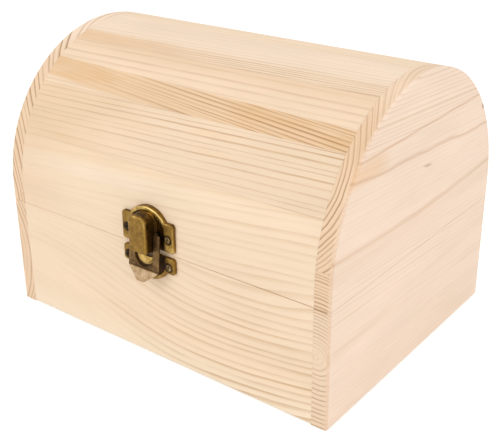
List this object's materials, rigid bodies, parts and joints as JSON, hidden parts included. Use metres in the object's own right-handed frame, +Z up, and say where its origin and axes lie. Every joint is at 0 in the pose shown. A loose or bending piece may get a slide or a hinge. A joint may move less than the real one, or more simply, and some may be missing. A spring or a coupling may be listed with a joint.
{
  "type": "treasure chest box",
  "caption": "Small barrel-top treasure chest box of plain pine, with a hinged lid, a hooked front latch and an open inside for keepsakes.",
  "frame": {"origin": "centre of the flat bottom face, which the chest rests on", "axes": "+X along the length of the chest, +Y towards the hinges at the back, +Z up; the latch is on the -Y side"},
  "size_m": [0.18, 0.1496, 0.131],
  "materials": {
    "pine_boards": "bare sanded pine, grain along the length",
    "pine_ends": "bare sanded pine, grain from front to back, end grain on the front edge",
    "pine_staves": "bare sanded pine, grain along the length",
    "plywood": "bare thin plywood",
    "antique_brass": "antique brass, dark in the hollows and bright on worn edges",
    "hasp_brass": "antique brass, greyer and brushed",
    "screw_brass": "dark antique brass",
    "hinge_brass": "antique brass",
    "pin_steel": "plain wire"
  },
  "bodies": {
    "base": {"base_front_board": "pine_boards", "base_back_board": "pine_boards", "base_left_end": "pine_ends", "base_right_end": "pine_ends", "base_bottom_panel": "plywood", "latch_lower_plate": "antique_brass", "latch_lower_screws": "screw_brass", "hinge_left_base_leaf": "hinge_brass", "hinge_left_pin": "pin_steel", "hinge_right_base_leaf": "hinge_brass", "hinge_right_pin": "pin_steel", "hinge_base_brads": "hinge_brass"},
    "lid": {"lid_left_end": "pine_ends", "lid_right_end": "pine_ends", "lid_front_rail": "pine_boards", "lid_back_rail": "pine_boards", "lid_stave_1": "pine_staves", "lid_stave_2": "pine_staves", "lid_stave_3": "pine_staves", "lid_stave_4": "pine_staves", "lid_stave_5": "pine_staves", "lid_stave_6": "pine_staves", "latch_upper_plate": "antique_brass", "latch_upper_screws": "screw_brass", "latch_pivot_pin": "pin_steel", "hinge_left_lid_leaf": "hinge_brass", "hinge_right_lid_leaf": "hinge_brass", "hinge_lid_brads": "hinge_brass"},
    "hasp": {"latch_hasp": "hasp_brass"}
  },
  "joints": [
    {"name": "lid_hinge", "type": "hinge", "parent": "base", "child": "lid", "pos_m": [0, 0.0708, 0.05365], "axis": [-1, 0, 0], "range_deg": [0, 155]},
    {"name": "hasp_pivot", "type": "hinge", "parent": "lid", "child": "hasp", "pos_m": [-0.001, -0.0711, 0.0623], "axis": [-1, 0, 0], "range_deg": [0, 115]}
  ]
}
